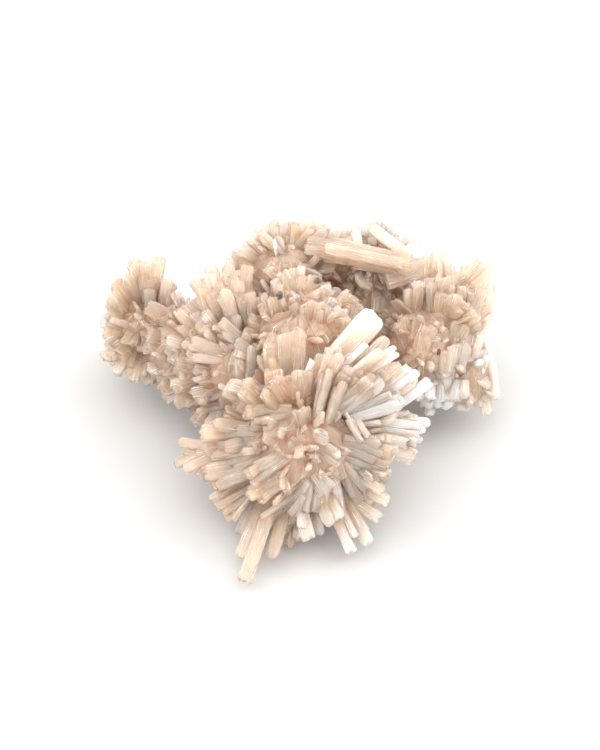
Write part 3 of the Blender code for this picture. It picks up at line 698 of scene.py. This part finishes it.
# How many of the flat blades are lenses, and how far under the table a root may go before it is cut off.
LENS_SHARE, CUT_DEPTH = 0.22, 1.0
# Ranges of chance for a lens, then for a bar: the end's length in half widths, the power it closes by, the
# width of its tip and of the root as shares of the blade's, and how ragged the end is in half widths.
END_LENGTH, END_POWER = ((1.3, 2.2), (0.4, 1.1)), ((1.8, 2.6), (2.4, 5.0))
TIP_WIDTH, ROOT_WIDTH = ((0.2, 0.5), (0.35, 0.75)), ((0.6, 0.75), (0.8, 1.0))
RAGGED = (0.1, 0.4), (0.2, 0.7)
# The same for the thickness of every end: the power and the tip. No end is longer than this share of a blade.
THICK_POWER, TIP_THICKNESS, LONGEST_END = (1.1, 2.4), (0.35, 0.8), 0.6
# The pattern of each blade starts at its own place in a square of this size, so that no two are alike.
GRAIN_SPREAD = 40


def blade_surfaces(rows, section, rings, seed):
    """All blades at once, as points[blade, ring, corner].

    A point is root + along * d + across * (width / 2) * w(d) * c + flat * (thickness / 2) * t(d) * s, where
    (c, s) is the section's corner. w and t widen slowly along the shaft and close over the end as
    (1 - (1 - x)^p)^(1 / p), x being the share of the end that is left: some blades are lenses with a long
    round end, the rest are bars with a short square end. Each corner's own length differs by a wave across
    the blade, so that the end is ragged, and the blade bends by bend * d^2.
    """
    shake = np.random.default_rng(seed)
    n = len(rows)
    along, flat, across = frames(rows)
    length = np.linalg.norm(rows[:, TIP] - rows[:, ROOT], axis=1)[:, None]
    half_wide, half_thick = rows[:, WIDTH, None] / 2, rows[:, THICKNESS, None] / 2
    lenses = (shake.random((n, 1)) < LENS_SHARE) & (half_thick < 0.5 * half_wide)

    def either(for_lens, for_bar):
        return np.where(lenses, shake.uniform(*for_lens, (n, 1)), shake.uniform(*for_bar, (n, 1)))

    end = np.minimum(either(*END_LENGTH) * half_wide, LONGEST_END * length)
    p, q = either(*END_POWER), shake.uniform(*THICK_POWER, (n, 1))
    least_w, least_t = either(*TIP_WIDTH), shake.uniform(*TIP_THICKNESS, (n, 1))
    shaft, x = (np.array(places)[None, :] for places in rings)
    closing_w = least_w + (1 - least_w) * (1 - (1 - x) ** p) ** (1 / p)
    closing_t = least_t + (1 - least_t) * (1 - (1 - x) ** q) ** (1 / q)
    start = either(*ROOT_WIDTH)
    w = np.concatenate([start + (1 - start) * shaft, closing_w], axis=1)
    t = np.concatenate([0.8 + 0.3 * shaft.repeat(n, 0), closing_t], axis=1)
    depth = np.concatenate([shaft * (length - end), length - x * end], axis=1)
    corner = section[None] * (1 + shake.normal(0, 0.05, (n, len(section), 1)))
    corner[..., 1] *= 1 + shake.normal(0, 0.10, corner.shape[:2])
    phase = shake.uniform(0, 6.3, (n, 2, 1))
    wave = np.sin(4.2 * corner[..., 0] + phase[:, 0]) + np.sin(9.5 * corner[..., 0] + phase[:, 1])
    ragged = either(*RAGGED) * half_wide * ((wave - 2) / 4 - shake.random(wave.shape) * 0.6)
    share = depth / length
    d = depth[..., None] + ragged[:, None, :] * (share[..., None] ** 3)
    twist = np.radians(shake.normal(0, 5, (n, 1))) * share
    bend = shake.normal(0, 0.02, (n, 1)) * length * share ** 2
    a = (half_wide * w)[..., None] * corner[:, None, :, 0]
    b = (half_thick * t)[..., None] * corner[:, None, :, 1]
    cos, sin = np.cos(twist)[..., None], np.sin(twist)[..., None]
    a, b = a * cos - b * sin, a * sin + b * cos
    rough = shake.normal(0, 0.05, (2, *a.shape))
    a, b = a + rough[0], b + rough[1] + bend[..., None]
    points = (
        rows[:, None, None, ROOT]
        + along[:, None, None] * d[..., None]
        + across[:, None, None] * a[..., None]
        + flat[:, None, None] * b[..., None]
    )
    points[..., 2] = np.maximum(points[..., 2], -CUT_DEPTH)
    grain = [a + GRAIN_SPREAD * shake.random((n, 1, 1)), d + GRAIN_SPREAD * shake.random((n, 1, 1))]
    return points, np.stack(grain, axis=-1), length[..., None] - d


def tube_faces(rings, corners):
    """The quads between the rings, the root's cap and the tip's cap, all facing outwards."""
    ring, corner = np.meshgrid(np.arange(rings - 1), np.arange(corners), indexing="ij")
    after = (corner + 1) % corners
    here, above = ring * corners, (ring + 1) * corners
    quads = np.stack([here + corner, here + after, above + after, above + corner], axis=-1).reshape(-1, 4)
    root = tuple(range(corners))[::-1]
    tip = tuple(range((rings - 1) * corners, rings * corners))
    return [tuple(quad) for quad in quads.tolist()] + [root, tip]


def crystals_of(name, points, grain, from_tip, values):
    """A list of closed meshes, one for each blade, each with its own values for the material."""
    faces = tube_faces(points.shape[1], points.shape[2])
    loops = np.concatenate([np.array(face) for face in faces])
    crystals = []
    for number in range(len(points)):
        mesh = bpy.data.meshes.new(f"{name}_{number}")
        mesh.from_pydata(points[number].reshape(-1, 3) * MM, [], faces)
        mesh.uv_layers.new(name="grain").uv.foreach_set("vector", grain[number].reshape(-1, 2)[loops].ravel())
        own = {key: np.full(len(mesh.vertices), value[number]) for key, value in values.items()}
        for key, value in {"from_tip": from_tip[number].ravel(), **own}.items():
            mesh.attributes.new(key, "FLOAT", "POINT").data.foreach_set("value", value)
        crystals.append(bpy.data.objects.new(mesh.name, mesh))
    return crystals


# A patch is looked up at this share of a blade's length, because a blade's outer part shows most. Its bell is
# as wide as this share of its spread.
OUTER_PART, BELL_WIDTH = 0.65, 0.6


def paleness(rows, seed):
    """Each blade's share of white: chance, plus every patch's amount, which fades as a bell with distance."""
    shake = np.random.default_rng(seed)
    place = (1 - OUTER_PART) * rows[:, ROOT] + OUTER_PART * rows[:, TIP] - HOME
    right, up = place[:, 0], place @ UP
    share = shake.normal(0.05, 0.13, len(rows))
    for at_right, at_up, spread, amount in PATCHES:
        away = (right - at_right) ** 2 + (up - at_up) ** 2
        share += amount * np.exp(-away / (2 * (BELL_WIDTH * spread) ** 2))
    return np.clip(share, -1, 1)


def crystals_in(name, layers, seed):
    """The separate crystals of one piece: layers are rows, corners of the section, and rings."""
    crystals = []
    for number, (rows, corners, rings) in enumerate(layers):
        tint = np.random.default_rng(seed + number).random(len(rows))
        values = {"tint": tint, "pale": paleness(rows, seed + 20 + number)}
        surfaces = blade_surfaces(rows, box_section(corners), rings, seed + 40 + number)
        crystals += crystals_of(f"{name}_{number}", *surfaces, values)
    return crystals


# A middle's grid, how rough it is, and how much grain it has for each radian. Then how far it is from any tip
# as the material sees it, which gives the middle the painted shade of the deep parts, and its tint and
# paleness.
MIDDLE_AROUND, MIDDLE_DOWN, MIDDLE_ROUGH, MIDDLE_GRAIN = 26, 15, 0.05, 8
MIDDLE_DEPTH, MIDDLE_VALUES = 15.0, {"tint": [0.5], "pale": [-0.2]}


def massive_middle(name):
    """One spray's middle, a lump of massive selenite: an ellipsoid, its radius times 1 + a little chance."""
    clock = np.linspace(0, 2 * np.pi, MIDDLE_AROUND, endpoint=False)
    around, down = np.meshgrid(clock, np.linspace(0, np.pi, MIDDLE_DOWN)[1:-1])
    size = 1 + np.random.default_rng(MIDDLES[name][SEED]).normal(0, MIDDLE_ROUGH, around.shape)
    unit = np.stack([np.sin(down) * np.cos(around), np.sin(down) * np.sin(around), -np.cos(down)], axis=-1)
    points = middle_of(name) + unit * size[..., None] * half_sizes(name)
    grain = np.stack([around * MIDDLE_GRAIN, down * MIDDLE_GRAIN], axis=-1)
    from_tip = np.full((1, *around.shape), MIDDLE_DEPTH)
    return crystals_of(f"middle_{name}", points[None], grain[None], from_tip, MIDDLE_VALUES)


# The last number of each call is the seed of its chances.
blade_crystals = crystals_in("crystals", [(in_plates(blades, 101), BLADE_CORNERS, RINGS)], 110)
for name in MIDDLES:
    blade_crystals += massive_middle(name)
small_crystals = crystals_in("fine_crystals", [(small, SMALL_CORNERS, RINGS)], 210)
fillers = [(between, SMALL_CORNERS, RINGS), (stubs, STUB_CORNERS, STUB_RINGS)]
between_crystals = crystals_in("crystals_between", fillers, 220)


def triangulated(mesh):
    """Splits every face into triangles, and takes out those that lie back to back on the same three corners.

    A triangle's turn is 1 where its corners run in rising order and -1 where they fall. On the same three
    corners turns that add up to 0 enclose nothing, so all of them go, and otherwise one stays.
    """
    body = bmesh.new()
    body.from_mesh(mesh)
    bmesh.ops.triangulate(body, faces=body.faces)
    body.to_mesh(mesh)
    faces = np.empty(len(mesh.polygons) * 3, np.int32)
    mesh.polygons.foreach_get("vertices", faces)
    faces = faces.reshape(-1, 3)
    order = np.argsort(faces, axis=1)
    turn = np.where((order[:, 1] - order[:, 0]) % 3 == 1, 1, -1)
    group = np.unique(np.sort(faces, axis=1), axis=0, return_inverse=True)[1].ravel()
    keep = np.bincount(group)[group] == 1
    left = np.flatnonzero(~keep & (turn == np.bincount(group, weights=turn)[group]))
    keep[left[np.unique(group[left], return_index=True)[1]]] = True
    body.faces.ensure_lookup_table()
    bmesh.ops.delete(body, geom=[body.faces[i] for i in np.flatnonzero(~keep).tolist()], context="FACES")
    body.to_mesh(mesh)
    body.free()


def lowest_shared(count, links):
    """The numbers from 0 to count - 1, each lowered to the least one that any chain of links joins it to."""
    number = np.arange(count)
    while True:
        lower = number.copy()
        least = number[links].min(axis=1)
        np.minimum.at(lower, links[:, 0], least)
        np.minimum.at(lower, links[:, 1], least)
        lower = lower[lower]
        if (lower == number).all():
            return number
        number = lower


def skin_of(mesh):
    """The mesh's corners, its triangles, and for each corner a number that its whole shell shares."""
    corners = np.empty(len(mesh.vertices) * 3)
    mesh.vertices.foreach_get("co", corners)
    faces = np.empty(len(mesh.polygons) * 3, np.int32)
    mesh.polygons.foreach_get("vertices", faces)
    ends = np.empty(len(mesh.edges) * 2, np.int32)
    mesh.edges.foreach_get("vertices", ends)
    shell = lowest_shared(len(mesh.vertices), ends.reshape(-1, 2))
    return corners.reshape(-1, 3), faces.reshape(-1, 3), shell


def without(mesh, gone):
    """Takes the corners that are gone out of the mesh, with all that hangs on them."""
    body = bmesh.new()
    body.from_mesh(mesh)
    body.verts.ensure_lookup_table()
    bmesh.ops.delete(body, geom=[body.verts[i] for i in np.flatnonzero(gone).tolist()], context="VERTS")
    body.to_mesh(mesh)
    body.free()


# The least volume of a crystal, in cubic metres: a tenth of a cubic mm.
LEAST_VOLUME = 1e-10


def one_skin(mesh):
    """Drops the shells of gaps that crystals close on all sides: their faces enclose a negative volume."""
    corners, faces, shell = skin_of(mesh)
    a, b, c = corners[faces].transpose(1, 0, 2)
    volume = np.zeros(len(corners))
    np.add.at(volume, shell[faces[:, 0]], (a * np.cross(b, c)).sum(axis=1) / 6)
    without(mesh, volume[shell] < LEAST_VOLUME)


def surface_of(pieces):
    """The triangles and shells of several pieces, numbered on, and a tree for rays and for touching."""
    skins, before = [], 0
    for piece in pieces:
        corners, faces, shell = skin_of(piece.data)
        skins.append((corners, faces + before, shell + before))
        before += len(corners)
    corners, faces, shell = (np.concatenate(part) for part in zip(*skins))
    return faces, shell, BVHTree.FromPolygons(corners.tolist(), faces.tolist())


def loose_dropped(pieces):
    """Drops each crystal that no chain of touching crystals joins to the rest."""
    faces, shell, tree = surface_of(pieces)
    touching = shell[faces[np.array(tree.overlap(tree)), 0]]
    chain = lowest_shared(len(shell), touching)[shell]
    loose = chain != np.bincount(chain).argmax()
    before = 0
    for piece in pieces:
        after = before + len(piece.data.vertices)
        without(piece.data, loose[before:after])
        before = after


# The block that cuts the cluster off flat, in metres, and the angle from which an edge shows as sharp.
BLOCK_WIDE, BLOCK_DEEP = 0.2, 0.02
SHARP_EDGE = math.radians(24)


def joined(name, crystals):
    """One piece of all those crystals, cut off flat where the cluster was broken from its wall."""
    group = bpy.data.collections.new(name)
    for crystal in crystals:
        group.objects.link(crystal)
    whole = bpy.data.objects.new(name, crystals[0].data.copy())
    scene.collection.objects.link(whole)
    together = whole.modifiers.new("grown_together", "BOOLEAN")
    together.operation, together.solver, together.operand_type = "UNION", "MANIFOLD", "COLLECTION"
    together.collection = group
    below = bpy.data.meshes.new("below")
    block = bmesh.new()
    size = Matrix.Diagonal((BLOCK_WIDE, BLOCK_WIDE, BLOCK_DEEP, 1))
    bmesh.ops.create_cube(block, size=1, matrix=Matrix.Translation((0, 0, -BLOCK_DEEP / 2)) @ size)
    block.to_mesh(below)
    block.free()
    below = bpy.data.objects.new("below", below)
    flat = whole.modifiers.new("broken_flat", "BOOLEAN")
    flat.operation, flat.solver, flat.object = "DIFFERENCE", "MANIFOLD", below
    mesh = bpy.data.meshes.new_from_object(whole.evaluated_get(bpy.context.evaluated_depsgraph_get()))
    whole.modifiers.clear()
    triangulated(mesh)
    one_skin(mesh)
    whole.data = mesh
    mesh.name = name
    mesh.polygons.foreach_set("use_smooth", np.ones(len(mesh.polygons), bool))
    mesh.set_sharp_from_angle(angle=SHARP_EDGE)
    for crystal in crystals:
        bpy.data.meshes.remove(crystal.data)
    bpy.data.objects.remove(below)
    return whole


# The milky stone's colours, from pale to dark peach, rust and white, and those of its clear part. Dark peach
# is also the painted shade deep down among the blades.
MILK_DARK, MILK_LIGHT, DEEP_PEACH = (0.96, 0.60, 0.42, 1), (0.98, 0.73, 0.57, 1), (0.90, 0.54, 0.34, 1)
RUST, WHITE, BROWN = (0.92, 0.50, 0.28, 1), (0.99, 0.97, 0.95, 1), (0.74, 0.42, 0.25, 1)
STREAK = (0.99, 0.96, 0.93, 1)
CLEAR, CLEAR_RUSTY, CLEAR_BROWN = (0.992, 0.86, 0.74, 1), (0.95, 0.66, 0.44, 1), (0.94, 0.77, 0.61, 1)
COLOURLESS, MIST = (1.0, 1.0, 1.0, 1), (0.98, 0.80, 0.60, 1)
GYPSUM_IOR = 1.52


def selenite():
    """Milky peach selenite: clear and white inside, with painted shade that makes it browner deep down among
    the blades, orange at the tips, silky.

    fibres, zones and steps are clouds drawn out along the grain; haze and crumbs are round ones. The clear
    and the milky shader are mixed by a share that rises with haze, streaks and paleness.
    """
    paint = Finish("peach_selenite")
    place = paint.add("ShaderNodeTexCoord", {}).outputs["Object"]
    grain = paint.add("ShaderNodeUVMap", {"uv_map": "grain"}).outputs["UV"]

    def read(name):
        return paint.value(paint.add("ShaderNodeAttribute", {"attribute_name": name}).outputs["Fac"])

    def cloud(vector, scale, stretch, detail):
        moved = paint.add("ShaderNodeMapping", {}, Vector=vector, Scale=stretch).outputs["Vector"]
        noise = paint.add("ShaderNodeTexNoise", {}, Vector=moved, Scale=scale, Detail=detail, Roughness=0.6)
        return paint.value(noise.outputs["Fac"])

    tip, pale, tint = read("from_tip"), read("pale"), read("tint")
    paler, darker = pale.at_least(0.0), (pale * -0.9).at_least(0.0)
    fibres = cloud(grain, 2.4, (1.0, 0.05, 1.0), 3.0)
    zones = cloud(grain, 0.55, (1.0, 0.8, 1.0), 3.0)
    haze = cloud(place, 160.0, (1, 1, 1), 3.0)
    near_tip = (1 - tip * 0.32).at_least(0.0)
    streaks = ((fibres - 0.56) * 4.0).at_least(0.0).at_most(1.0)
    stain = (near_tip ** 1.5) * ((zones - 0.3) * 3.0).at_least(0.0) + (tint - 0.6).at_least(0.0) * 0.8
    # Painted shade: more than 5 mm from its tip a blade turns towards dark peach, as the shaded gaps deep in
    # the cluster look.
    painted_deep_shade = ((tip - 5.0) * 0.09).at_least(0.0).at_most(1.0)
    milk = paint.mix((haze - 0.36) * 3.0, MILK_DARK, MILK_LIGHT)
    tone_and_deep_shade = paint.mix(painted_deep_shade * 0.6 + (tint - 0.5) * 0.5 + (0.46 - fibres) * 4.0, milk, DEEP_PEACH)
    rusty = paint.mix(stain, tone_and_deep_shade, RUST)
    white = paint.mix((pale * 0.95).at_least(0.0), rusty, WHITE)
    brown = paint.mix(darker, white, BROWN)
    milky = paint.shader
    paint.put(milky.inputs["Base Color"], paint.mix(streaks, brown, STREAK))
    paint.put(milky.inputs["Roughness"], 0.35 + (haze * 0.2))
    paint.put(milky.inputs["IOR"], GYPSUM_IOR)
    paint.put(milky.inputs["Subsurface Weight"], 1.0)
    paint.put(milky.inputs["Subsurface Radius"], (1.0, 0.93, 0.86))
    paint.put(milky.inputs["Subsurface Scale"], 0.01)
    clear = paint.add("ShaderNodeBsdfPrincipled", {}, IOR=GYPSUM_IOR, Transmission_Weight=1.0)
    thin = paint.mix(stain * 0.5, CLEAR, CLEAR_RUSTY)
    browner = paint.mix(darker, thin, CLEAR_BROWN)
    paint.put(clear.inputs["Base Color"], paint.mix(paler, browner, COLOURLESS))
    paint.put(clear.inputs["Roughness"], 0.07 + (fibres * 0.22) + (haze * 0.1))
    steps = cloud(grain, 2.6, (1.0, 0.03, 1.0), 2.0)
    crumbs = cloud(place, 900.0, (1, 1, 1), 3.0)
    ridged = steps + fibres * 0.6 + crumbs * 0.7
    bump = paint.add("ShaderNodeBump", {}, Strength=1.0, Distance=0.0003, Height=ridged)
    both = paint.add("ShaderNodeMixShader", {})
    paint.put(both.inputs[0], 0.24 + (haze * 0.2) + (streaks * 0.32) + (paler * 0.35))
    for slot, shader in zip(both.inputs[1:], (clear, milky)):
        paint.put(shader.inputs["Normal"], bump.outputs["Normal"])
        paint.put(slot, shader.outputs["BSDF"])
    mist = paint.add("ShaderNodeVolumeAbsorption", {}, Color=MIST, Density=14.0)
    result = paint.tree.nodes["Material Output"]
    paint.put(result.inputs["Surface"], both.outputs["Shader"])
    paint.put(result.inputs["Volume"], mist.outputs["Volume"])
    return paint.material


cluster_piece = joined("crystal_cluster", blade_crystals)
fine_piece = joined("fine_crystals", small_crystals)
between_piece = joined("crystals_between", between_crystals)
loose_dropped((cluster_piece, fine_piece, between_piece))
stone = selenite()
for piece in (cluster_piece, fine_piece, between_piece):
    piece.data.materials.clear()
    piece.data.materials.append(stone)
    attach(piece, "root")
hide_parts("selenite_cluster")


# The dark grains: specks of another mineral, brown-black, that sit in the faces and ends of the crystals.
# Each is a small rough lump, sunk by half into the surface that the line of sight meets there.

# Right and up in the view, and size, all in mm.
GRAINS = [
    (-5.2, 26.0, 2.0), (4.3, 29.9, 1.8), (21.8, 45.6, 1.2), (35.0, 12.0, 1.5), (24.5, 11.0, 0.55),
    (2.0, -13.6, 0.55), (2.8, -14.3, 0.5), (1.4, -12.8, 0.4), (3.4, -15.2, 0.35), (2.5, -12.9, 0.3),
    (-24.0, 11.8, 0.4), (-34.0, 15.6, 0.8), (-13.0, -16.0, 0.3), (-13.8, -16.6, 0.3), (6.2, -6.5, 0.35),
    (10.8, -12.0, 0.35), (-4.2, -26.8, 0.3), (-13.7, -26.2, 0.3), (-17.0, -15.2, 0.3), (-9.0, 23.0, 0.35),
    (-22.0, 28.0, 0.4), (-18.0, 31.0, 0.3), (-27.0, 17.0, 0.35), (12.0, 6.0, 0.25), (-5.0, 4.0, 0.3),
]
# Finer grains lie by chance in this stretch of the view, above this height over the table.
SCATTERED, SCATTER_RIGHT, SCATTER_UP = 90, (-30, 24), (-34, 38)
SCATTER_SIZES, SCATTER_ABOVE = (0.12, 0.3), 4
# Lines of sight start this far in front of the cluster.
LOOK_FROM = 150
# A grain's grid, how rough it is, and how far it is drawn out along each axis.
GRAIN_AROUND, GRAIN_DOWN, GRAIN_ROUGH, GRAIN_STRETCH = 7, 6, 0.18, (0.6, 1.3)
crystal_tree = surface_of((cluster_piece, fine_piece, between_piece))[2]


def met_by_sight(right, up):
    """The point of the crystals, in mm, that the line of sight right and up of the middle meets, or None."""
    start = Vector((seen_at(right, up, MID_HEIGHT) + LOOK_FROM * TOWARD) * MM)
    hit = crystal_tree.ray_cast(start, Vector(-TOWARD))[0]
    return None if hit is None else np.array(hit) / MM


def lumps(places, sizes, seed):
    """Small rough lumps at those places: a sphere's grid, radius times 1 + chance, stretched by chance."""
    shake = np.random.default_rng(seed)
    clock = np.linspace(0, 2 * np.pi, GRAIN_AROUND, endpoint=False)
    around, down = np.meshgrid(clock, np.linspace(0, np.pi, GRAIN_DOWN)[1:-1])
    unit = np.stack([np.sin(down) * np.cos(around), np.sin(down) * np.sin(around), -np.cos(down)], axis=-1)
    n = len(places)
    size = np.asarray(sizes)[:, None, None] * (1 + shake.normal(0, GRAIN_ROUGH, (n, *around.shape))) / 2
    stretch = shake.uniform(*GRAIN_STRETCH, (n, 1, 1, 3))
    points = np.asarray(places)[:, None, None] + unit[None] * size[..., None] * stretch
    one = tube_faces(*around.shape)
    return points.reshape(-1, 3), [tuple(i + k * around.size for i in face) for k in range(n) for face in one]


found, sizes = [], []
for right, up, size in GRAINS:
    point = met_by_sight(right, up)
    if point is not None:
        found.append(point)
        sizes.append(size)
scatter = np.random.default_rng(301)
for right, up in zip(scatter.uniform(*SCATTER_RIGHT, SCATTERED), scatter.uniform(*SCATTER_UP, SCATTERED)):
    point = met_by_sight(right, up)
    if point is not None and point[2] > SCATTER_ABOVE:
        found.append(point)
        sizes.append(scatter.uniform(*SCATTER_SIZES))
points, faces = lumps(found, sizes, 302)
mesh = bpy.data.meshes.new("dark_grains")
mesh.from_pydata((points * MM).tolist(), [], faces)
grains = bpy.data.objects.new("dark_grains", mesh)
scene.collection.objects.link(grains)

NEAR_BLACK, RUSTY_BLACK = (0.035, 0.028, 0.026, 1), (0.16, 0.09, 0.06, 1)


def dark_mineral():
    """Brown-black grains with a dull shine, a little rustier in places."""
    paint = Finish("dark_mineral")
    place = paint.add("ShaderNodeTexCoord", {}).outputs["Object"]
    noise = paint.add("ShaderNodeTexNoise", {}, Vector=place, Scale=900.0, Detail=2.0)
    share = paint.value(noise.outputs["Fac"])
    paint.put(paint.shader.inputs["Base Color"], paint.mix((share - 0.45) * 4.0, NEAR_BLACK, RUSTY_BLACK))
    paint.put(paint.shader.inputs["Roughness"], 0.45 + share * 0.2)
    return paint.material


mesh.materials.append(dark_mineral())
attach(grains, "root")
